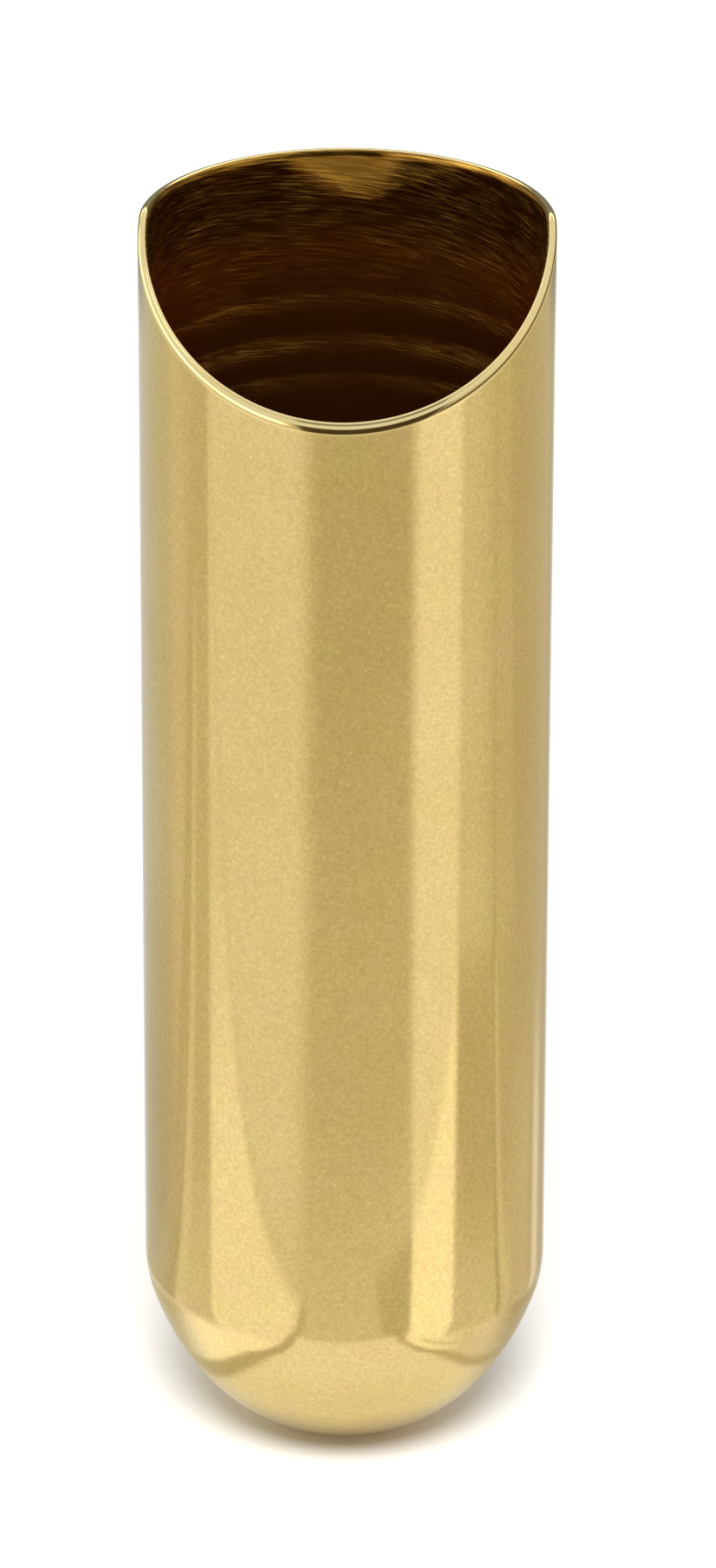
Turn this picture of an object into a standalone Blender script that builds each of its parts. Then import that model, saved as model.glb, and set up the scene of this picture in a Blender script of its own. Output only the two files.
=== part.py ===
"""Guitar slide: one thin-walled piece of brass, worn on a finger.

A straight round tube runs into a round closed end at the bottom. The mouth at the top is full height
behind and cut down on a slant in front, where the finger bends.

Metres. +Z runs along the bore towards the mouth, the slant faces -Y, and the origin is the lowest
point of the closed end.
"""

import math

import bpy
from mathutils import Matrix, Vector

# The tube.
OUTER_RADIUS = 0.0111
WALL = 0.0007
LENGTH = 0.0715

# The closed end. It leaves the tube at a faint shoulder, already turned in by SHOULDER_TURN.
DOME_HEIGHT = 0.0099
END_THICKNESS = 0.0010
SHOULDER_TURN = math.radians(13)
SHOULDER_REACH = 0.28  # how far the dome holds its first direction, as a share of the radius
TIP_REACH = 0.69  # how far it stays near level at the tip, as a share of the radius

# The slanted cut: a plane that starts a little behind the bore's axis and falls towards -Y.
SLANT_START = 0.0010
SLANT_ANGLE = math.radians(32.5)

TURN_STEPS = 72
OUTER_DOME_STEPS = 14
INNER_DOME_STEPS = 9

BRASS_COLOUR = (0.80, 0.62, 0.30, 1.0)
BRASS_ROUGHNESS = 0.14

BORE_RADIUS = OUTER_RADIUS - WALL


def clear_scene():
    for obj in list(bpy.data.objects):
        bpy.data.objects.remove(obj, do_unlink=True)


def new_collection(name):
    collection = bpy.data.collections.new(name)
    bpy.context.scene.collection.children.link(collection)
    return collection


def brass():
    material = bpy.data.materials.new("polished_brass")
    material.use_nodes = True
    shader = material.node_tree.nodes["Principled BSDF"]
    shader.inputs["Base Color"].default_value = BRASS_COLOUR
    shader.inputs["Metallic"].default_value = 1.0
    shader.inputs["Roughness"].default_value = BRASS_ROUGHNESS
    return material


def dome_curve(radius, shoulder_z, tip_z, steps):
    """Points (r, z) from the tube's wall down to the axis: a cubic curve, level where it meets the axis."""
    shoulder = Vector((radius, shoulder_z))
    tip = Vector((0.0, tip_z))
    inward = Vector((-math.sin(SHOULDER_TURN), -math.cos(SHOULDER_TURN)))
    shoulder_handle = shoulder + inward * SHOULDER_REACH * radius
    tip_handle = tip + Vector((TIP_REACH * radius, 0.0))
    points = []
    for step in range(steps + 1):
        t = step / steps
        s = 1.0 - t
        points.append(
            s**3 * shoulder + 3 * s * s * t * shoulder_handle + 3 * s * t * t * tip_handle + t**3 * tip
        )
    return points


def turned_profile():
    """The half section, from the bore's bottom up the inside, over the rim and down the outside."""
    inner = dome_curve(BORE_RADIUS, DOME_HEIGHT, END_THICKNESS, INNER_DOME_STEPS)
    outer = dome_curve(OUTER_RADIUS, DOME_HEIGHT, 0.0, OUTER_DOME_STEPS)
    rim = [Vector((BORE_RADIUS, LENGTH)), Vector((OUTER_RADIUS, LENGTH))]
    return inner[::-1] + rim + outer


def turned_body(name, collection):
    profile = turned_profile()
    mesh = bpy.data.meshes.new(name)
    edges = [(i, i + 1) for i in range(len(profile) - 1)]
    mesh.from_pydata([(r, 0.0, z) for r, z in profile], edges, [])
    body = bpy.data.objects.new(name, mesh)
    collection.objects.link(body)
    screw = body.modifiers.new("turn", "SCREW")
    screw.axis = "Z"
    screw.angle = 2 * math.pi
    screw.steps = TURN_STEPS
    screw.render_steps = TURN_STEPS
    screw.use_merge_vertices = True
    screw.merge_threshold = 0.00001
    return body


def slant_cutter(collection):
    """A box whose lower face is the slanted plane."""
    size = 6 * OUTER_RADIUS
    bpy.ops.mesh.primitive_cube_add(size=size)
    cutter = bpy.context.object
    cutter.name = "slant_cutter"
    # Its lower face is put through the origin before it is tilted and moved to the crease.
    cutter.data.transform(Matrix.Translation((0.0, 0.0, size / 2)))
    cutter.rotation_euler = (SLANT_ANGLE, 0.0, 0.0)
    cutter.location = (0.0, SLANT_START, LENGTH)
    for owner in list(cutter.users_collection):
        owner.objects.unlink(cutter)
    collection.objects.link(cutter)
    cutter.hide_render = True
    cutter.display_type = "WIRE"
    return cutter


def slide_body(collection, cutters):
    body = turned_body("slide_body", collection)
    cut = body.modifiers.new("slanted_mouth", "BOOLEAN")
    cut.operation = "DIFFERENCE"
    cut.solver = "EXACT"
    cut.object = slant_cutter(cutters)
    body.data.materials.append(brass())
    return body


def shade_round(body):
    """Fixes the modifiers into the mesh, so that its round faces can be smooth and its rim sharp."""
    bpy.context.view_layer.update()
    graph = bpy.context.evaluated_depsgraph_get()
    finished = bpy.data.meshes.new_from_object(body.evaluated_get(graph))
    body.modifiers.clear()
    body.data = finished
    finished.shade_smooth()
    finished.set_sharp_from_angle(angle=math.radians(30))


def main():
    clear_scene()
    slide = new_collection("guitar_slide")
    cutters = new_collection("cutters")
    shade_round(slide_body(slide, cutters))


main()
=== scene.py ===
"""Guitar slide: the looks. One piece of polished brass on a white studio table.

Metres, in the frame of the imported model: +Z runs along the bore to the mouth, and the slant faces -Y.
"""

import math

import bpy
import numpy as np
from mathutils import Matrix, Vector


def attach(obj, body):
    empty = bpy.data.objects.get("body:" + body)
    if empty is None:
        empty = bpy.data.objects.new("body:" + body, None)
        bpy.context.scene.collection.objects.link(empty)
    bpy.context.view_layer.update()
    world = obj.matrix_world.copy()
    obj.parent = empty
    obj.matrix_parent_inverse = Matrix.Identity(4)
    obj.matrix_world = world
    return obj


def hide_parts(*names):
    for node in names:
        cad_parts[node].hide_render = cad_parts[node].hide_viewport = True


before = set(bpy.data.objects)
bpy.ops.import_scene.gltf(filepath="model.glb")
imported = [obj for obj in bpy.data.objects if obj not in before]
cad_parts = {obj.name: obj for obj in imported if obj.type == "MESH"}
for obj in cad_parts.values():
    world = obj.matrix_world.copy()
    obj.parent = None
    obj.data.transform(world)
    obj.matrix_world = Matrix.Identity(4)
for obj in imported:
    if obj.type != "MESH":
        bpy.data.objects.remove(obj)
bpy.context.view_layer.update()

# ---------------------------------------------------------------- sizes, as in part.py
OUTER_RADIUS = 0.0111
WALL = 0.0007
LENGTH = 0.0715
DOME_HEIGHT = 0.0099
END_THICKNESS = 0.0010
SHOULDER_TURN = math.radians(13)
SHOULDER_REACH = 0.28
TIP_REACH = 0.69
SLANT_START = 0.0010
SLANT_ANGLE = math.radians(32.5)
BORE_RADIUS = OUTER_RADIUS - WALL

# The buffed edges, which the CAD solid leaves sharp.
# Each reach is how far the rounding starts from the sharp corner, on the land and down the wall.
OUTER_EDGE_REACH = (0.00026, 0.00027)
INNER_EDGE_REACH = (0.00030, 0.00046)
BUFFED_ROWS = 5
ROUNDNESS = 0.56
CREASE_BLEND = 0.00035
SHOULDER_BLEND = 0.00095
# The dome's own rows start this far past its corner, clear of the softened ones.
CLEAR_OF_SHOULDER = SHOULDER_BLEND * 1.2

# The bore's buffed flare: it opens slowly towards the mouth.
FLARE_WIDENS = 0.000155
FLARE_AT_RIM = 0.00012
FLARE_STRAIGHT = 0.0022
FLARE_LENGTH = 0.0034
# At the front of the bore the tool marks start this far below the flare, so no rows of the mesh meet.
BELOW_FLARE_LEAST = 0.0004
# Tool marks in the bore: (depth below the mouth's back, step outwards).
BORE_RINGS = ((0.00830, 0.000004), (0.01065, 0.000003), (0.01105, 0.000003), (0.01300, 0.000004))
RING_WIDTH = 0.00035

# The tool marks' fine rows start this far above the first mark, and end this far below the last.
RINGS_START_ABOVE = 0.00005
RINGS_END_BELOW = 0.0005
# The plain depth's rows keep this far from the tool marks' rows and from the inner dome's shoulder.
DEEP_MARGIN = 0.001

# How many steps the mesh takes round the slide and along each stretch of its profile.
TURN_STEPS = 360
OUTER_DOME_STEPS = 64
OUTER_SHOULDER_STEPS = 8
WALL_STEPS = 24
WALL_TOP_SHARES = (0.985, 0.995, 0.999)
OUTER_EDGE_STEPS = 12
LAND_SHARES = (0.25, 0.5, 0.75)
INNER_EDGE_STEPS = 14
FLARE_STEPS = 20
BELOW_FLARE_STEPS = 8
RINGED_STEPS = 65
DEEP_ROWS = 10
INNER_DOME_STEPS = 32
INNER_SHOULDER_STEPS = 4

# The slide's material slots.
WALL_SLOT, RIM_SLOT, BORE_SLOT = 0, 1, 2

# ---------------------------------------------------------------- camera
CAMERA_AZIMUTH = math.radians(1.7)
CAMERA_ELEVATION = math.radians(24.52)
CAMERA_DISTANCE = 0.4566
PIVOT = Vector((0.0, 0.0, 0.0357))
AIM_RIGHT = 0.00067
AIM_UP = 0.00275
CAMERA_ROLL = 0.0033
SENSOR = 36.0
LENS = 192.1
CLIP_START = 0.01


def link(obj):
    bpy.context.scene.collection.objects.link(obj)
    return obj


def smooth(low, high, value):
    """0 below low, 1 above high, and a soft step between them."""
    t = np.clip((value - low) / (high - low), 0.0, 1.0)
    return t * t * (3.0 - 2.0 * t)


def mix(a, b, share):
    return a + (b - a) * share


# ---------------------------------------------------------------- the slide's mesh
def bezier(start, start_handle, end_handle, end, steps):
    """Points of a cubic curve from start to end, both included."""
    t = np.linspace(0.0, 1.0, steps + 1)[:, None]
    s = 1.0 - t
    start, start_handle, end_handle, end = (np.array(p) for p in (start, start_handle, end_handle, end))
    return s**3 * start + 3 * s * s * t * start_handle + 3 * s * t * t * end_handle + t**3 * end


def dome_line(radius, tip_z, steps):
    """Points (r, z) from the shoulder to the axis."""
    handle = SHOULDER_REACH * radius
    return bezier(
        (radius, DOME_HEIGHT),
        (radius - math.sin(SHOULDER_TURN) * handle, DOME_HEIGHT - math.cos(SHOULDER_TURN) * handle),
        (TIP_REACH * radius, tip_z),
        (0.0, tip_z),
        steps,
    )


def shoulder_rows(line, radius, steps):
    """The dome's line with its corner at the wall softened: rows from the dome's start up into the wall."""
    length = np.r_[0.0, np.cumsum(np.hypot(*np.diff(line, axis=0).T))]
    below = np.array([np.interp(SHOULDER_BLEND, length, line[:, k]) for k in (0, 1)])
    corner = np.array((radius, DOME_HEIGHT))
    above = np.array((radius, DOME_HEIGHT + SHOULDER_BLEND))
    t = np.linspace(0.0, 1.0, steps + 1)[:, None]
    soft = (1 - t) ** 2 * below + 2 * t * (1 - t) * corner + t * t * above
    return line[length > CLEAR_OF_SHOULDER], soft


def mouth_height(y):
    """Height of the mouth's plane and how steeply it falls towards the front."""
    u = SLANT_START - y
    root = np.sqrt(u * u + CREASE_BLEND**2)
    fall = (u + root) / 2
    steepness = (1 + u / root) / 2
    slope = math.tan(SLANT_ANGLE)
    return LENGTH - slope * fall, slope * steepness


def corner_rows(corner, arriving, leaving, reach_before, reach_after, steps):
    """A rounded corner per angle round the tube: a cubic curve between two directions, given as angles."""
    before = np.array((np.cos(arriving), np.sin(arriving)))
    after = np.array((np.cos(leaving), np.sin(leaving)))
    first = corner - before * reach_before
    last = corner + after * reach_after
    first_handle = first + before * reach_before * ROUNDNESS
    last_handle = last - after * reach_after * ROUNDNESS
    rows = []
    for step in range(steps + 1):
        t = step / steps
        q = 1 - t
        rows.append(q**3 * first + 3 * q * q * t * first_handle + 3 * q * t * t * last_handle + t**3 * last)
    return rows


def between(first, last, shares):
    """Rows between two rows, at these shares of the way."""
    return [(mix(first[0], last[0], s), mix(first[1], last[1], s)) for s in shares]


def flare_at(depth):
    """How far the bore stands in from its radius at the rim: a steady slope that fades out further down."""
    fade = FLARE_LENGTH - FLARE_STRAIGHT
    slope = FLARE_WIDENS / (FLARE_STRAIGHT + fade / 2)
    straight = np.clip(depth, 0.0, FLARE_STRAIGHT)
    faded = np.clip((depth - FLARE_STRAIGHT) / fade, 0.0, 1.0)
    return slope * (straight + fade * (faded - faded * faded / 2))


def bore_radius_at(z, rim_z):
    """The bore narrows a little below each tool mark, so each mark is a small ledge that faces up."""
    radius = BORE_RADIUS + FLARE_AT_RIM - flare_at(rim_z - z)
    for depth, step in BORE_RINGS:
        radius = radius - step * (1 - smooth(-RING_WIDTH, 0.0, z - (LENGTH - depth)))
    return radius


def shares_past_start(steps):
    """Equal shares of the way to an end, without the start, which is a row already."""
    return np.linspace(0.0, 1.0, steps + 1)[1:]


def mouth_edges(angle):
    """(outer, inner): the rows that round off the mouth's two edges."""
    ones = np.ones(TURN_STEPS)
    middle_radius = OUTER_RADIUS - WALL / 2
    height, steepness = mouth_height(middle_radius * np.sin(angle))
    tilt = steepness * np.sin(angle)
    inward = np.arctan2(-tilt, -1.0)
    inward = np.where(inward < 0, inward + 2 * math.pi, inward)

    def land(radius):
        return height + tilt * (radius - middle_radius)

    outer_corner = np.array((OUTER_RADIUS * ones, land(OUTER_RADIUS)))
    inner_corner = np.array(((BORE_RADIUS + FLARE_AT_RIM) * ones, land(BORE_RADIUS)))
    up, down = math.pi / 2 * ones, 1.5 * math.pi * ones
    on_land, on_wall = OUTER_EDGE_REACH
    outer = corner_rows(outer_corner, up, inward, on_wall, on_land, OUTER_EDGE_STEPS)
    on_land, on_wall = INNER_EDGE_REACH
    inner = corner_rows(inner_corner, inward, down, on_land, on_wall, INNER_EDGE_STEPS)
    return outer, inner


def bore_rows(rim_z):
    """Rows down the bore: the flare, the tool marks, the plain depth and the inner dome."""

    def bore(z):
        return bore_radius_at(z, rim_z), z

    straight_end = rim_z - FLARE_LENGTH
    ring_top = LENGTH - BORE_RINGS[0][0] + RINGS_START_ABOVE
    ring_end = LENGTH - BORE_RINGS[-1][0] - RINGS_END_BELOW
    below_flare = np.minimum(straight_end - BELOW_FLARE_LEAST, ring_top)
    rows = [bore(mix(rim_z, straight_end, s)) for s in shares_past_start(FLARE_STEPS)]
    rows += [bore(mix(straight_end, below_flare, s)) for s in shares_past_start(BELOW_FLARE_STEPS)]
    rows += [bore(mix(below_flare, ring_end, s)) for s in shares_past_start(RINGED_STEPS)]
    radius = float(bore_radius_at(np.array([0.0]), LENGTH)[0])
    line = dome_line(radius, END_THICKNESS, INNER_DOME_STEPS)
    dome, soft = shoulder_rows(line, radius, INNER_SHOULDER_STEPS)
    depths = np.linspace(ring_end - DEEP_MARGIN, soft[-1][1] + DEEP_MARGIN, DEEP_ROWS)
    rows += [(radius, z) for z in depths]
    return rows + list(soft[::-1]) + list(dome[:-1])


def slide_rows():
    """(angle, rows, slots), from the outer tip over the rim to the bore's tip. A row is r and z by angle."""
    angle = np.arange(TURN_STEPS) * 2 * math.pi / TURN_STEPS
    ones = np.ones(TURN_STEPS)
    rows, slots = [], []

    def add(new_rows, slot):
        for r, z in new_rows:
            rows.append((r * ones, z * ones))
            slots.append(slot)

    line = dome_line(OUTER_RADIUS, 0.0, OUTER_DOME_STEPS)
    dome, soft = shoulder_rows(line, OUTER_RADIUS, OUTER_SHOULDER_STEPS)
    outer, inner = mouth_edges(angle)
    wall_foot = (OUTER_RADIUS * ones, soft[-1][1] * ones)
    wall_shares = [*shares_past_start(WALL_STEPS)[:-1], *WALL_TOP_SHARES]
    add(dome[::-1][1:], WALL_SLOT)
    add(soft, WALL_SLOT)
    add(between(wall_foot, outer[0], wall_shares), WALL_SLOT)
    add(outer, RIM_SLOT)
    add(between(outer[-1], inner[0], LAND_SHARES), RIM_SLOT)
    add(inner[:BUFFED_ROWS], RIM_SLOT)
    add(inner[BUFFED_ROWS:], BORE_SLOT)
    add(bore_rows(inner[-1][1]), BORE_SLOT)
    return angle, rows, slots


def slide_mesh():
    angle, rows, slots = slide_rows()
    count = len(rows)
    r = np.array([row[0] for row in rows])
    z = np.array([row[1] for row in rows])
    points = np.stack((r * np.cos(angle), r * np.sin(angle), z), axis=-1).reshape(-1, 3)
    tips = np.array(((0.0, 0.0, 0.0), (0.0, 0.0, END_THICKNESS)))
    points = np.vstack((points, tips))
    outer_tip = count * TURN_STEPS
    here = np.arange(TURN_STEPS)
    after = (here + 1) % TURN_STEPS
    faces, face_slots = [], []
    for row in range(count - 1):
        low, high = row * TURN_STEPS, (row + 1) * TURN_STEPS
        faces.extend(zip(low + here, low + after, high + after, high + here))
        face_slots.extend([slots[row + 1]] * TURN_STEPS)
    last = (count - 1) * TURN_STEPS
    faces.extend((outer_tip, b, a) for a, b in zip(here, after))
    face_slots.extend([WALL_SLOT] * TURN_STEPS)
    faces.extend((last + a, last + b, outer_tip + 1) for a, b in zip(here, after))
    face_slots.extend([BORE_SLOT] * TURN_STEPS)
    mesh = bpy.data.meshes.new("polished_slide")
    mesh.from_pydata(points.tolist(), [], [tuple(int(i) for i in face) for face in faces])
    mesh.polygons.foreach_set("material_index", face_slots)
    mesh.shade_smooth()
    mesh.update()
    return mesh


# ---------------------------------------------------------------- materials
class Nodes:
    """Short helpers for one material's node tree."""

    def __init__(self, name):
        self.material = bpy.data.materials.new(name)
        self.material.use_nodes = True
        self.tree = self.material.node_tree
        self.tree.nodes.clear()
        self.output = self.tree.nodes.new("ShaderNodeOutputMaterial")

    def add(self, kind, **settings):
        node = self.tree.nodes.new(kind)
        for key, value in settings.items():
            setattr(node, key, value)
        return node

    def join(self, source, target):
        self.tree.links.new(source, target)

    def put(self, socket, value):
        """Links a socket to another, or sets its value."""
        if isinstance(value, bpy.types.NodeSocket):
            self.join(value, socket)
        else:
            socket.default_value = value

    def position(self):
        return self.add("ShaderNodeTexCoord").outputs["Object"]

    def moved(self, vector, stretch=(1.0, 1.0, 1.0), turn=(0.0, 0.0, 0.0)):
        """The vector stretched along each axis, then turned."""
        mapping = self.add("ShaderNodeMapping")
        mapping.inputs["Scale"].default_value = stretch
        mapping.inputs["Rotation"].default_value = turn
        self.join(vector, mapping.inputs["Vector"])
        return mapping.outputs["Vector"]

    def noise(self, vector, scale, detail=2.0, roughness=0.5):
        node = self.add("ShaderNodeTexNoise")
        self.join(vector, node.inputs["Vector"])
        node.inputs["Scale"].default_value = scale
        node.inputs["Detail"].default_value = detail
        node.inputs["Roughness"].default_value = roughness
        return node.outputs["Fac"]

    def remap(self, value, low, high, to_low, to_high):
        node = self.add("ShaderNodeMapRange")
        self.join(value, node.inputs["Value"])
        ends = {"From Min": low, "From Max": high, "To Min": to_low, "To Max": to_high}
        for name, number in ends.items():
            node.inputs[name].default_value = number
        return node.outputs["Result"]

    def maths(self, operation, *values):
        node = self.add("ShaderNodeMath", operation=operation)
        for socket, value in zip(node.inputs, values):
            self.put(socket, value)
        return node.outputs["Value"]

    def times(self, product, *values):
        """The product of all the values."""
        for value in values:
            product = self.maths("MULTIPLY", product, value)
        return product

    def blend(self, share, first, second):
        node = self.add("ShaderNodeMix", data_type="RGBA")
        self.put(node.inputs[0], share)
        self.put(node.inputs[6], first)
        self.put(node.inputs[7], second)
        return node.outputs[2]

    def bump(self, height, distance, normal=None):
        node = self.add("ShaderNodeBump")
        node.inputs["Strength"].default_value = 1.0
        node.inputs["Distance"].default_value = distance
        self.join(height, node.inputs["Height"])
        if normal is not None:
            self.join(normal, node.inputs["Normal"])
        return node.outputs["Normal"]


def metal(nodes, colour, roughness, normal, metallic=1.0):
    shader = nodes.add("ShaderNodeBsdfPrincipled")
    nodes.put(shader.inputs["Base Color"], colour)
    nodes.put(shader.inputs["Roughness"], roughness)
    nodes.put(shader.inputs["Metallic"], metallic)
    nodes.put(shader.inputs["Normal"], normal)
    nodes.join(shader.outputs["BSDF"], nodes.output.inputs["Surface"])
    return nodes.material


BRASS = (0.86, 0.66, 0.28, 1.0)
BRASS_GREEN = (0.915, 0.74, 0.303, 1.0)
BRASS_PINK = (0.95, 0.707, 0.335, 1.0)
BRASS_DEEP = (0.89, 0.660, 0.260, 1.0)
BRASS_PIT = (0.42, 0.28, 0.09, 1.0)
RIM_BRASS = (0.86, 0.69, 0.33, 1.0)
BORE_BRASS = (0.80, 0.50, 0.12, 1.0)
# Near the mouth the bore's colour is much darker than deeper down: painted shade, not a change in the brass.
BORE_DARK = (0.56, 0.20, 0.023, 1.0)
BORE_MOUTH_SHADE = (0.19, 0.082, 0.010, 1.0)
# The colour of the painted reflection at the back of the mouth.
BORE_PAINTED_REFLECTION = (0.50, 0.28, 0.042, 1.0)
# The painted reflection at the back of the mouth: a V, by x at its two ends and its foot, and its depth
# there.
PATCH_LEFT = -0.0045
PATCH_RIGHT = 0.0062
PATCH_FOOT = 0.0008
PATCH_TOP = 0.0004
PATCH_DEPTH = 0.0028
PATCH_EDGE_WANDER = 0.0004
PATCH_EDGE_BLUR = 0.0002
PATCH_FADED_AT = 0.0010
# Depths below the mouth's back: where the bore's scratches end and are full, and where the painted shade near
# the mouth ends and is full.
SCRATCHES_END = 0.0100
SCRATCHES_FULL = 0.0040
MOUTH_SHADE_END = 0.0054
MOUTH_SHADE_FULL = 0.0026
# How far each tool mark's band of painted highlight reaches below and above it.
RING_HIGHLIGHT_BELOW = 0.0010
RING_HIGHLIGHT_ABOVE = 0.0003


def outer_brass():
    """The played surface: polished, clouded by close tones, with fine grain, specks and faint hairlines."""
    nodes = Nodes("polished_brass_wall")
    place = nodes.position()
    cloud = nodes.noise(place, 330.0, 4.0, 0.6)
    patch = nodes.noise(place, 130.0, 2.0, 0.5)
    grain = nodes.noise(place, 9500.0, 2.0, 0.7)
    mottle = nodes.noise(place, 4300.0, 3.0, 0.75)
    specks = nodes.noise(nodes.moved(place, (4200.0, 4200.0, 3000.0)), 1.0, 2.0, 0.6)
    hair = nodes.noise(nodes.moved(place, (240.0, 240.0, 400.0), (0.5, 0.3, 0.0)), 1.0, 2.0, 0.4)
    broken = nodes.noise(place, 900.0, 1.0, 0.5)
    colour = nodes.blend(nodes.remap(cloud, 0.38, 0.62, 0.0, 1.0), BRASS_GREEN, BRASS_PINK)
    colour = nodes.blend(nodes.remap(patch, 0.38, 0.62, 0.0, 0.50), colour, BRASS_DEEP)
    pitted = nodes.blend(0.55, colour, BRASS_PIT)
    colour = nodes.blend(nodes.remap(grain, 0.30, 0.70, 0.80, 0.0), colour, pitted)
    colour = nodes.blend(nodes.remap(mottle, 0.32, 0.68, 0.95, 0.0), colour, pitted)
    colour = nodes.blend(nodes.remap(specks, 0.64, 0.72, 0.0, 0.75), colour, pitted)
    off_line = nodes.maths("ABSOLUTE", nodes.maths("SUBTRACT", hair, 0.5))
    hairline = nodes.remap(off_line, 0.0, 0.0035, 0.40, 0.0)
    stretches = nodes.remap(broken, 0.5, 0.6, 0.0, 1.0)
    colour = nodes.blend(nodes.times(hairline, stretches), colour, pitted)
    roughness = nodes.remap(cloud, 0.3, 0.7, 0.085, 0.125)
    normal = nodes.bump(patch, 0.000002)
    normal = nodes.bump(cloud, 0.0000009, normal)
    normal = nodes.bump(grain, 0.0000002, normal)
    return metal(nodes, colour, roughness, normal)


def rim_brass():
    """The buffed mouth edge: brighter and smoother than the wall."""
    nodes = Nodes("buffed_brass_rim")
    place = nodes.position()
    cloud = nodes.noise(place, 260.0, 2.0, 0.5)
    grain = nodes.noise(place, 2400.0, 2.0, 0.6)
    colour = nodes.blend(nodes.remap(cloud, 0.3, 0.7, 0.0, 1.0), BRASS, RIM_BRASS)
    roughness = nodes.remap(grain, 0.3, 0.7, 0.07, 0.12)
    normal = nodes.bump(cloud, 0.000006)
    normal = nodes.bump(grain, 0.0000008, normal)
    return metal(nodes, colour, roughness, normal)


def painted_reflection_patch(nodes, split, streaks):
    """1 inside the V-shaped patch of painted reflection at the back of the mouth, with a streaky edge."""
    x = split.outputs["X"]
    depth = nodes.maths("SUBTRACT", LENGTH, split.outputs["Z"])
    left = nodes.remap(x, PATCH_LEFT, PATCH_FOOT, PATCH_TOP, PATCH_DEPTH)
    right = nodes.remap(x, PATCH_FOOT, PATCH_RIGHT, PATCH_DEPTH, PATCH_TOP)
    inside = nodes.maths("SUBTRACT", nodes.maths("MINIMUM", left, right), depth)
    wander = nodes.remap(streaks, 0.3, 0.7, -PATCH_EDGE_WANDER, PATCH_EDGE_WANDER)
    inside = nodes.maths("ADD", inside, wander)
    shape = nodes.remap(inside, 0.0, PATCH_EDGE_BLUR, 0.0, 1.0)
    edge = nodes.remap(inside, PATCH_EDGE_BLUR, PATCH_FADED_AT, 1.0, 0.25)
    at_back = nodes.remap(split.outputs["Y"], 0.0, 0.002, 0.0, 1.0)
    return nodes.times(shape, edge, at_back)


def bore_scratches(nodes, fine, coarse, clusters, height, aside):
    """Short scratches in the upper bore, in clusters, and fainter in the middle."""
    upper = nodes.remap(height, LENGTH - SCRATCHES_END, LENGTH - SCRATCHES_FULL, 0.0, 1.0)
    clustered = nodes.times(nodes.remap(clusters, 0.36, 0.60, 0.55, 1.0), upper)
    fine_streaks = nodes.remap(fine, 0.46, 0.68, 0.0, 0.50)
    coarse_streaks = nodes.remap(coarse, 0.56, 0.74, 0.0, 0.30)
    streaks = nodes.maths("ADD", fine_streaks, coarse_streaks)
    return nodes.times(streaks, clustered, nodes.remap(aside, 0.35, 1.0, 0.6, 1.0))


def ring_highlight(nodes, fine, height, depth, aside):
    """The band of painted highlight round one tool mark, broken up and fainter in the middle."""
    ring = LENGTH - depth
    below = nodes.remap(height, ring - RING_HIGHLIGHT_BELOW, ring, 0.0, 0.40)
    above = nodes.remap(height, ring, ring + RING_HIGHLIGHT_ABOVE, 1.0, 0.0)
    return nodes.times(below, above, nodes.remap(fine, 0.42, 0.62, 0.1, 1.0), aside)


def bore_brass():
    """The bore: as machined, browner, with short scratches round it that rise a little to one side."""
    nodes = Nodes("machined_brass_bore")
    place = nodes.position()
    tilted = nodes.moved(place, turn=(0.0, math.radians(-7.0), 0.0))
    fine = nodes.noise(nodes.moved(tilted, (520.0, 520.0, 13000.0)), 1.0, 2.0, 0.6)
    coarse = nodes.noise(nodes.moved(tilted, (420.0, 420.0, 8000.0)), 1.0, 2.0, 0.6)
    clusters = nodes.noise(place, 260.0, 3.0, 0.6)
    split = nodes.add("ShaderNodeSeparateXYZ")
    nodes.join(place, split.inputs["Vector"])
    height = split.outputs["Z"]
    aside = nodes.remap(nodes.maths("ABSOLUTE", split.outputs["X"]), 0.0005, 0.0050, 0.35, 1.0)
    marks = bore_scratches(nodes, fine, coarse, clusters, height, aside)
    # Each tool mark is a ledge in the mesh; its band here is painted highlight in the colour.
    for depth, _ in BORE_RINGS:
        marks = nodes.maths("ADD", marks, ring_highlight(nodes, fine, height, depth, aside))
    # The V patch is painted reflection: a lighter, less metallic colour at the back of the mouth.
    patch = nodes.times(painted_reflection_patch(nodes, split, coarse), nodes.remap(fine, 0.38, 0.62, 0.25, 1.0))
    # Painted shade: the bore's colour goes darker towards the mouth.
    mouth = nodes.remap(height, LENGTH - MOUTH_SHADE_END, LENGTH - MOUTH_SHADE_FULL, 0.0, 1.0)
    colour = nodes.blend(marks, nodes.blend(mouth, BORE_DARK, BORE_MOUTH_SHADE), BORE_BRASS)
    colour = nodes.blend(patch, colour, BORE_PAINTED_REFLECTION)
    smoother_up = nodes.remap(mouth, 0.0, 1.0, 0.18, 0.06)
    roughness = nodes.maths("ADD", smoother_up, nodes.remap(marks, 0.0, 1.0, 0.0, 0.32))
    metallic = nodes.remap(nodes.maths("MAXIMUM", marks, patch), 0.0, 1.0, 0.975, 0.78)
    normal = nodes.bump(coarse, 0.000003)
    return metal(nodes, colour, roughness, normal, metallic)


# ---------------------------------------------------------------- what the brass reflects
# Lengths in the table's pattern are in slide radii, with x to the camera's right and y away from it.
# Each level is a brightness, which GLOW_STRENGTH multiplies.
def past_line(x, y, start, azimuth, blur, spread=0.0):
    """0 to 1 across the line that leaves start at this azimuth (0 is the front, + is to the right)."""
    a = math.radians(azimuth)
    dx, dy = x - start[0], y - start[1]
    along = dx * math.sin(a) - dy * math.cos(a)
    across = dx * math.cos(a) + dy * math.sin(a)
    width = blur + spread * np.clip(along, 0.0, None)
    return smooth(-width, width, across)


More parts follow.
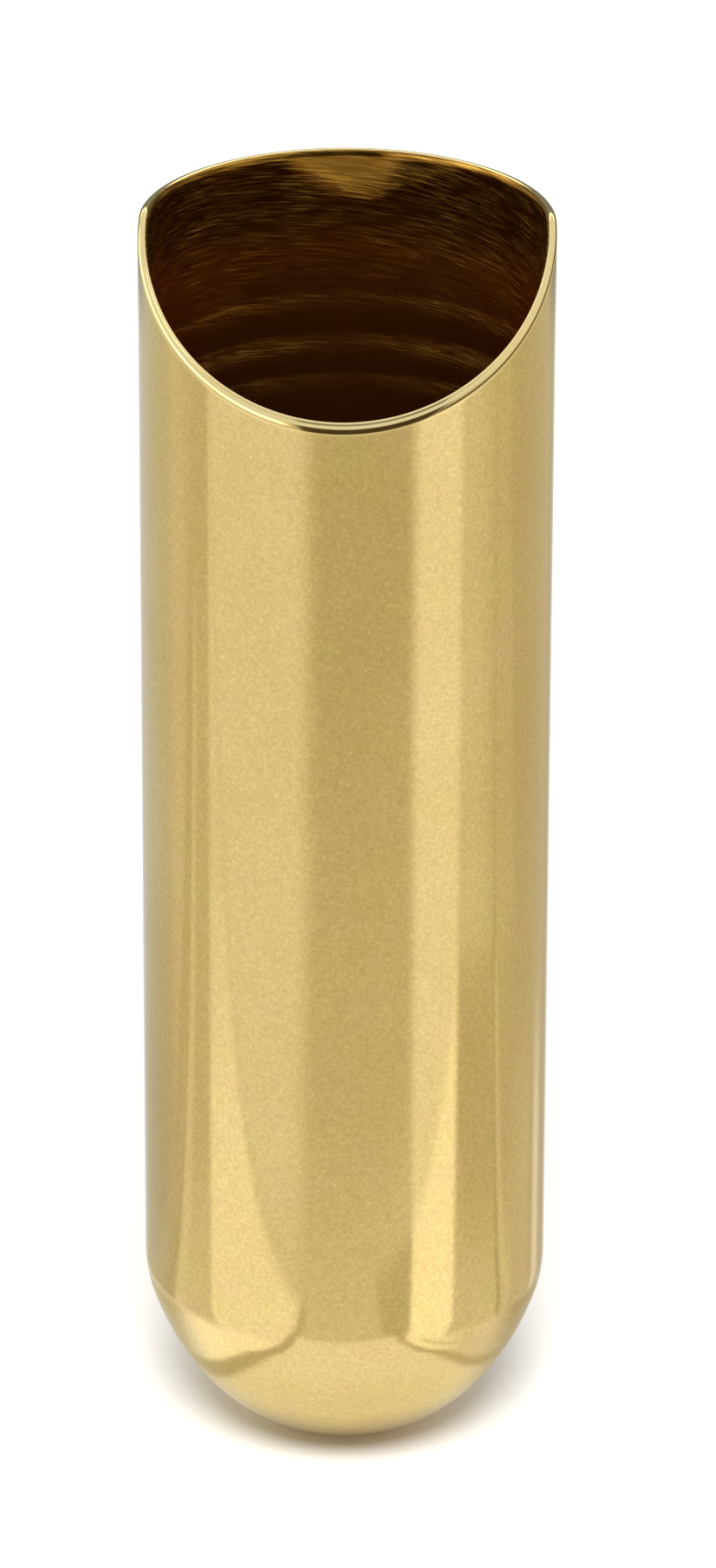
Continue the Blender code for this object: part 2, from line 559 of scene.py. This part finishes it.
def seen_azimuth(x, y):
    """Where the wall shows this place of the table to the camera: azimuth of the ray that leaves the wall."""
    side = np.abs(x)
    turn = np.arctan2(side, -y) / 2
    for _ in range(8):
        towards = np.arctan2(np.clip(side - np.sin(turn), 0.0, None), -y - np.cos(turn))
        turn = (turn + towards / 2) / 2
    return np.degrees(2 * turn) * np.sign(x)


# The room round the table, by azimuth from the camera's side, where + is to the camera's right.
# It is a plain wall, with a shaded stretch, a pale panel, a dark post and a window behind.
PLAIN_WALL = 0.62
SHADED_WALL = 0.55
PALE_PANEL = 0.70
DARK_POST = 0.48
BACK_WINDOW = 0.90

CONTACT_SHADE = (0.23, 0.155, 0.065)
BACK_WALL = (0.20, 0.22, 0.22)


def stripe(value, centre, half, blur):
    """1 within half of centre, with soft edges."""
    return 1 - smooth(half - blur, half + blur, np.abs(value - centre))


def room_glow(azimuth):
    """Brightness of the room: shaded on the right, a panel on the left, a post and a window behind."""
    glow = mix(PLAIN_WALL, SHADED_WALL, smooth(95, 112, azimuth))
    glow = mix(glow, PALE_PANEL, stripe(azimuth, -108.0, 8.0, 7.0))
    glow = mix(glow, DARK_POST, stripe(azimuth, 158.0, 5.0, 4.0))
    return mix(glow, BACK_WINDOW, smooth(162, 178, np.abs(azimuth)))


# Levels on the left of the table.
LEFT_SHADE_FAR, LEFT_SHADE_NEAR = 0.64, 0.76
LEFT_STRIP = 0.80
LEFT_DARK_EDGE = 0.52
LEFT_PAST_EDGE = 0.58
LEFT_BOARD_FAR, LEFT_BOARD_NEAR = 0.86, 1.07
LEFT_AHEAD_FAR, LEFT_AHEAD_NEAR = 0.86, 0.80
LEFT_BOARD_LINE = 0.72
LEFT_BOARD_Y = -3.00


def left_side(glow, x, y):
    """The left of the table: a shaded band, a light strip and a thin dark edge, and a bright board."""
    reach = (1 - smooth(-2.0, -1.6, x)) * smooth(-13.0, -11.0, x)
    shade = mix(LEFT_SHADE_FAR, LEFT_SHADE_NEAR, smooth(-5.0, -2.6, x))
    glow = mix(glow, shade, reach * stripe(y, -1.1, 0.95, 0.06))
    glow = mix(glow, LEFT_STRIP, reach * stripe(y, 0.05, 0.20, 0.08))
    curl = 0.38 + 0.25 * np.exp(-((x + 2.1) ** 2) / 0.3)
    glow = mix(glow, LEFT_DARK_EDGE, reach * stripe(y, curl, 0.06, 0.06))
    glow = mix(glow, LEFT_PAST_EDGE, reach * stripe(y, curl + 0.45, 0.30, 0.25))
    ahead = mix(LEFT_AHEAD_FAR, LEFT_AHEAD_NEAR, smooth(-3.0, -1.2, x))
    ahead = mix(ahead, LEFT_BOARD_LINE, stripe(y, LEFT_BOARD_Y, 0.10, 0.08) * (x < -1.0))
    board = mix(LEFT_BOARD_FAR, LEFT_BOARD_NEAR, smooth(-8.5, -3.0, x))
    bright = past_line(x, y, (-2.3, -0.95), -83.0, 0.06, 0.015)
    return mix(glow, mix(ahead, board, smooth(LEFT_BOARD_Y, -2.85, y)), bright * (y < 0.5))


# Levels of the lane in front, from far off to close by.
LANE_FAR, LANE_MIDDLE, LANE_NEAR = 0.56, 0.635, 0.77


def front_side(glow, x, y):
    """The camera's side: a shaded lane with soft edges, lighter close to the slide."""
    edge = past_line(x, y, (-1.05, -2.6), -20.0, 0.12, 0.17)
    shade = mix(LANE_FAR, LANE_MIDDLE, smooth(-12.0, -6.0, y))
    shade = mix(shade, LANE_NEAR, smooth(-5.5, -2.5, y))
    return mix(glow, shade, edge * (y < 0))


# Levels on the right of the table.
RIGHT_CORNER = 0.60
RIGHT_AHEAD = 0.98
RIGHT_BOARD = 1.22
RIGHT_BOARD_Y = -3.32
WEDGE_OUTER, WEDGE_INNER = 0.58, 0.74
WEDGE_FAR_FRONT, WEDGE_FAR_SIDE = 0.75, 0.63
WEDGE_STRIP = 0.74
WEDGE_LINE = 0.48
REAR_DARK_BAND = 0.63
REAR_LIGHT_BAND = 0.84


def shaded_wedge(glow, x, y):
    """The shaded wedge on the right, with a light strip and a thin dark line along it."""
    azimuth = np.degrees(np.arctan2(x, -y))
    wedge = past_line(x, y, (2.10, -1.57), 67.5, 0.05, 0.04) * (x > 0) * (y < 2.5)
    wedge *= 1 - smooth(96, 112, azimuth)
    far = smooth(6.3, 7.3, np.hypot(x, y + 0.4))
    shade = mix(WEDGE_OUTER, WEDGE_INNER, smooth(4.4, 2.4, x))
    far_shade = mix(WEDGE_FAR_FRONT, WEDGE_FAR_SIDE, smooth(72, 92, azimuth))
    glow = mix(glow, mix(shade, far_shade, far), wedge)
    glow = mix(glow, WEDGE_STRIP, wedge * stripe(y, -0.08, 0.14, 0.08) * (1 - far))
    return mix(glow, WEDGE_LINE, wedge * stripe(y, -0.30, 0.06, 0.06))


def right_side(glow, x, y):
    """The right of the table: a bright stretch past a dark corner, then a shaded wedge and two bands."""
    on_board = smooth(RIGHT_BOARD_Y, -3.2, y)
    corner = (1 - smooth(-0.10, 0.10, (x - 1.4) * 0.75 + (y + 2.3) * 0.66)) * smooth(0.75, 0.95, x)
    glow = mix(glow, RIGHT_CORNER, corner * on_board * (y < -1.6))
    ahead = past_line(x, y, (2.15, -3.2), 38.0, 0.10, 0.10)
    near = past_line(x, y, (1.40, -2.30), 41.5, 0.05)
    glow = mix(glow, RIGHT_AHEAD, ahead * (1 - on_board))
    glow = mix(glow, RIGHT_BOARD, near * on_board * (y < 0))
    glow = shaded_wedge(glow, x, y)
    seen = seen_azimuth(x, y)
    close = 1 - smooth(3.6, 6.4, np.hypot(x, y))
    glow = mix(glow, REAR_DARK_BAND, close * stripe(seen, 122.0, 10.0, 4.0))
    return mix(glow, REAR_LIGHT_BAND, close * stripe(seen, 143.0, 4.5, 2.5))


# Levels close to the slide.
RING_LIGHT = 1.20
RING_RIGHT = 0.84
LANE_LIGHT = 0.99
DARK_STRIP = 0.58
SECOND_STRIP = 0.80
# The slide's painted shadow on the table behind it.
SHADOW_BEHIND_LEFT, SHADOW_BEHIND_RIGHT = 0.58, 0.48


def near_slide(glow, x, y):
    """Close to the slide: a light ring, a light lane in front between two thin darker strips, and the slide's
    painted shadow behind it.
    """
    side = np.abs(x)
    right = smooth(-0.3, 0.3, x)
    turn_out = (0.14 - 0.09 * right) * smooth(-1.6, -2.4, y)
    strip = 0.96 + 0.09 * right - 0.10 * smooth(-0.6, -1.5, y) + turn_out
    ring = 1 - smooth(1.80, 2.15, np.hypot(x, y))
    azimuth = np.degrees(np.arctan2(x, -y))
    lit = mix(RING_LIGHT, mix(RING_LIGHT, RING_RIGHT, smooth(38, 62, azimuth)), right)
    glow = mix(glow, lit, ring)
    lane = (1 - smooth(-0.05, 0.05, side - strip)) * smooth(-2.28, -2.10, y)
    glow = mix(glow, LANE_LIGHT, lane)
    ends = smooth(-2.95, -2.85, y) * (1 - smooth(0.2, 0.6, y)) * (1 - smooth(-1.9, -2.1, y) * (x > 0))
    glow = mix(glow, DARK_STRIP, stripe(side - strip, 0.0, mix(0.095, 0.055, right), 0.05) * ends)
    second = stripe(side - strip, 0.24, 0.035, 0.035) * ends * right * smooth(-1.8, -1.5, y)
    glow = mix(glow, SECOND_STRIP, second)
    behind = mix(SHADOW_BEHIND_LEFT, SHADOW_BEHIND_RIGHT, smooth(0.0, 0.6, x))
    return mix(glow, behind, ring * smooth(-0.50, 0.40, y))


# How much the left rear of the table is dimmed close to the slide.
REAR_LEFT_DIM = 0.14


def table_glow(x, y):
    """Brightness of the table as the brass sees it. x and y are in slide radii."""
    seen = seen_azimuth(x, y)
    glow = room_glow(seen)
    glow *= 1 - REAR_LEFT_DIM * stripe(seen, -134.0, 26.0, 14.0) * (1 - smooth(3.5, 9.0, np.hypot(x, y)))
    glow = left_side(glow, x, y)
    glow = front_side(glow, x, y)
    glow = right_side(glow, x, y)
    return near_slide(glow, x, y)


# How far the warm tint moves each channel, and what the other tints multiply each channel by; the close tint
# is painted shade near the slide.
WARM_SHIFT = (0.05, -0.01, -0.22)
COOL_TINT = (0.94, 1.01, 1.18)
CLOSE_SHADE_TINT = (0.85, 0.82, 0.66)


def tinted(glow):
    """The darker parts of the room are warmer."""
    warm = np.clip((0.9 - glow) / 0.4, 0.0, 1.0)
    return np.stack([glow * (1 + shift * warm) for shift in WARM_SHIFT], -1)


def cooled(colour, azimuth, distance):
    """The left rear of the room is whiter, further from the slide."""
    share = (smooth(-105, -140, azimuth) * smooth(1.8, 3.0, distance))[..., None]
    return colour * mix(np.ones(3), np.array(COOL_TINT), share)


def table_colour(x, y):
    """The table's glow with its tint, its dark far end, and the warm shade where the slide stands."""
    contact = 1 - smooth(0.10, 0.62, np.hypot(x * 0.8, y + 0.14))
    azimuth = np.degrees(np.arctan2(x, -y))
    distance = np.hypot(x, y)
    colour = cooled(tinted(table_glow(x, y)), seen_azimuth(x, y), distance)
    # Painted shade: the table is darker and warmer close to the slide.
    close = (1 - smooth(0.40, 1.42, distance))[..., None]
    colour = colour * mix(np.ones(3), np.array(CLOSE_SHADE_TINT), close)
    far_end = smooth(15.0, 18.0, distance) * smooth(140, 155, np.abs(azimuth))
    colour = mix(colour, np.array(BACK_WALL), far_end[..., None])
    return mix(colour, np.array(CONTACT_SHADE), contact[..., None])


OVERHEAD = (0.76, 0.80, 0.90)
SOFT_BOX = (2.0, 2.0, 1.9)
CAMERA_DARK = (0.06, 0.045, 0.02)
BACK_LIGHT = (1.50, 1.50, 1.52)
RIGHT_WALL = (0.78, 0.76, 0.68)
DOORWAY = (0.16, 0.13, 0.08)


def sky_colour(azimuth, elevation):
    """The room above the table, by azimuth and elevation in degrees, as seen from the slide."""
    low = tinted(room_glow(azimuth))

    def paint(colour, new, share):
        return mix(colour, np.array(new), share[..., None])

    above = smooth(1.0, 6.0, elevation)
    colour = paint(low, RIGHT_WALL, above * smooth(50, 60, azimuth))
    behind = smooth(115, 130, np.abs(azimuth))
    colour = paint(colour, BACK_WALL, behind)
    colour = paint(colour, BACK_LIGHT, behind * smooth(34, 42, elevation))
    box = stripe(azimuth, -72.0, 46.0, 3.0) * stripe(elevation, 34.0, 12.0, 3.0)
    colour = paint(colour, SOFT_BOX, box)
    colour = paint(colour, CAMERA_DARK, above * stripe(azimuth, 8.5, 29.0, 2.0))
    colour = paint(colour, DOORWAY, stripe(azimuth, 88.0, 50.0, 4.0) * stripe(elevation, 20.0, 13.0, 3.0))
    return paint(colour, OVERHEAD, smooth(48, 62, elevation))


GLOW_STRENGTH = 1.135


def glow_material(name):
    nodes = Nodes(name)
    colour = nodes.add("ShaderNodeAttribute", attribute_name="glow")
    light = nodes.add("ShaderNodeEmission")
    nodes.join(colour.outputs["Color"], light.inputs["Color"])
    light.inputs["Strength"].default_value = GLOW_STRENGTH
    nodes.join(light.outputs["Emission"], nodes.output.inputs["Surface"])
    nodes.material.cycles.emission_sampling = "NONE"
    return nodes.material


def grid_object(name, points, colours):
    """A mesh from a grid of points (rows, columns, 3) whose rows are closed, with a colour at each point."""
    rows, columns = points.shape[:2]
    mesh = bpy.data.meshes.new(name)
    index = np.arange(rows * columns).reshape(rows, columns)
    index = np.hstack((index, index[:, :1]))
    faces = np.stack((index[:-1, :-1], index[:-1, 1:], index[1:, 1:], index[1:, :-1]), -1).reshape(-1, 4)
    mesh.vertices.add(rows * columns)
    mesh.vertices.foreach_set("co", points.reshape(-1).astype(np.float32))
    mesh.loops.add(faces.size)
    mesh.loops.foreach_set("vertex_index", faces.reshape(-1).astype(np.int32))
    mesh.polygons.add(len(faces))
    mesh.polygons.foreach_set("loop_start", np.arange(0, faces.size, 4, dtype=np.int32))
    mesh.update(calc_edges=True)
    attribute = mesh.color_attributes.new("glow", "FLOAT_COLOR", "POINT")
    rgba = np.concatenate((colours.reshape(-1, 3), np.ones((rows * columns, 1))), axis=1)
    attribute.data.foreach_set("color", rgba.reshape(-1).astype(np.float32))
    obj = link(bpy.data.objects.new(name, mesh))
    mesh.materials.append(glow_material(name))
    obj.visible_camera = False
    obj.visible_diffuse = False
    obj.visible_transmission = False
    obj.visible_shadow = False
    obj.rotation_euler = (0.0, 0.0, CAMERA_AZIMUTH)
    return obj


# The reflected table lies just under the tip, so the tip never pokes through it.
TABLE_BELOW = 0.00001
# In slide radii: the table's innermost ring, and how far the table and the room reach.
TABLE_START = 0.003
ROOM_REACH = 90.0
# Rows of their meshes.
TABLE_RINGS = 420
ROOM_ROWS = 140


def reflected_table():
    """What the brass sees of the table: a flat disc whose glow changes from place to place."""
    azimuth = np.radians(np.arange(0.0, 360.0, 0.5))
    distance = OUTER_RADIUS * np.geomspace(TABLE_START, ROOM_REACH, TABLE_RINGS)
    a, d = np.meshgrid(azimuth, distance)
    x, y = d * np.sin(a), -d * np.cos(a)
    points = np.stack((x, y, np.full_like(x, -TABLE_BELOW)), -1)
    colours = table_colour(x / OUTER_RADIUS, y / OUTER_RADIUS)
    return grid_object("reflected_table", points, colours)


def reflected_room():
    """What the brass sees of the room: the upper half of a big sphere, and a little below."""
    azimuth = np.radians(np.arange(-180.0, 180.0, 1.0))
    elevation = np.radians(np.linspace(-3.0, 90.0, ROOM_ROWS))
    a, e = np.meshgrid(azimuth, elevation)
    size = ROOM_REACH * OUTER_RADIUS
    points = size * np.stack((np.sin(a) * np.cos(e), -np.cos(a) * np.cos(e), np.sin(e)), -1)
    return grid_object("reflected_room", points, sky_colour(np.degrees(a), np.degrees(e)))


# ---------------------------------------------------------------- the visible studio
FLOOR_SIZE = 6.0
BACKDROP_RADIUS = 2.8
BACKDROP_HEIGHT = 4.0
BACKDROP_STEPS = 96
FLOOR_WHITE = (0.92, 0.92, 0.92, 1.0)
WORLD_WHITE = (1.0, 0.98, 0.93, 1.0)
WORLD_STRENGTH = 0.66
KEY_STRENGTH = 3.5
KEY_ELEVATION = math.radians(50)
KEY_SOFTNESS = math.radians(24)


def white_floor():
    nodes = Nodes("white_table")
    shader = nodes.add("ShaderNodeBsdfDiffuse")
    shader.inputs["Color"].default_value = FLOOR_WHITE
    nodes.join(shader.outputs["BSDF"], nodes.output.inputs["Surface"])
    mesh = bpy.data.meshes.new("white_table")
    half = FLOOR_SIZE / 2
    corners = [(-half, -half, 0.0), (half, -half, 0.0), (half, half, 0.0), (-half, half, 0.0)]
    mesh.from_pydata(corners, [], [(0, 1, 2, 3)])
    mesh.materials.append(nodes.material)
    floor = link(bpy.data.objects.new("white_table", mesh))
    floor.visible_glossy = False
    return floor


def white_backdrop():
    """A plain white wall all round the table, there for the camera only."""
    nodes = Nodes("white_backdrop")
    light = nodes.add("ShaderNodeEmission")
    nodes.join(light.outputs["Emission"], nodes.output.inputs["Surface"])
    nodes.material.cycles.emission_sampling = "NONE"
    turn = np.arange(BACKDROP_STEPS) * 2 * math.pi / BACKDROP_STEPS
    foot = [(BACKDROP_RADIUS * math.cos(a), BACKDROP_RADIUS * math.sin(a), 0.0) for a in turn]
    top = [(x, y, BACKDROP_HEIGHT) for x, y, _ in foot]
    pairs = [(i, (i + 1) % BACKDROP_STEPS) for i in range(BACKDROP_STEPS)]
    faces = [(a, b, b + BACKDROP_STEPS, a + BACKDROP_STEPS) for a, b in pairs]
    mesh = bpy.data.meshes.new("white_backdrop")
    mesh.from_pydata(foot + top, [], faces)
    mesh.materials.append(nodes.material)
    wall = link(bpy.data.objects.new("white_backdrop", mesh))
    wall.visible_diffuse = False
    wall.visible_glossy = False
    wall.visible_transmission = False
    wall.visible_shadow = False
    return wall


def warm_white_world():
    world = bpy.data.worlds.new("white_studio")
    world.use_nodes = True
    background = world.node_tree.nodes["Background"]
    background.inputs["Color"].default_value = WORLD_WHITE
    background.inputs["Strength"].default_value = WORLD_STRENGTH
    world.cycles_visibility.glossy = False
    bpy.context.scene.world = world


def front_light():
    """A soft key light from the camera's side, high up, so the slide's shadow falls behind it."""
    data = bpy.data.lights.new("front_light", "SUN")
    data.energy = KEY_STRENGTH
    data.angle = KEY_SOFTNESS
    light = link(bpy.data.objects.new("front_light", data))
    light.rotation_euler = (math.radians(90) - KEY_ELEVATION, 0.0, CAMERA_AZIMUTH)
    light.visible_glossy = False
    return light


def photo_camera():
    data = bpy.data.cameras.new("photo_camera")
    data.sensor_width = SENSOR
    data.lens = LENS
    data.clip_start = CLIP_START
    camera = link(bpy.data.objects.new("photo_camera", data))
    flat = math.cos(CAMERA_ELEVATION)
    away = Vector(
        (math.sin(CAMERA_AZIMUTH) * flat, -math.cos(CAMERA_AZIMUTH) * flat, math.sin(CAMERA_ELEVATION))
    )
    right = Vector((math.cos(CAMERA_AZIMUTH), math.sin(CAMERA_AZIMUTH), 0.0))
    up = away.cross(right)
    location = PIVOT + away * CAMERA_DISTANCE
    aim = PIVOT + right * AIM_RIGHT + up * AIM_UP
    turn = (aim - location).to_track_quat("-Z", "Y").to_matrix().to_4x4()
    camera.matrix_world = Matrix.Translation(location) @ turn @ Matrix.Rotation(CAMERA_ROLL, 4, "Z")
    bpy.context.scene.camera = camera
    return camera


photo_camera()
slide = link(bpy.data.objects.new("polished_slide", slide_mesh()))
slide.data.materials.append(outer_brass())
slide.data.materials.append(rim_brass())
slide.data.materials.append(bore_brass())
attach(slide, "root")
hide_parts("slide_body")

white_floor()
white_backdrop()
warm_white_world()
front_light()
reflected_table()
reflected_room()
bpy.context.scene.view_settings.view_transform = "Standard"
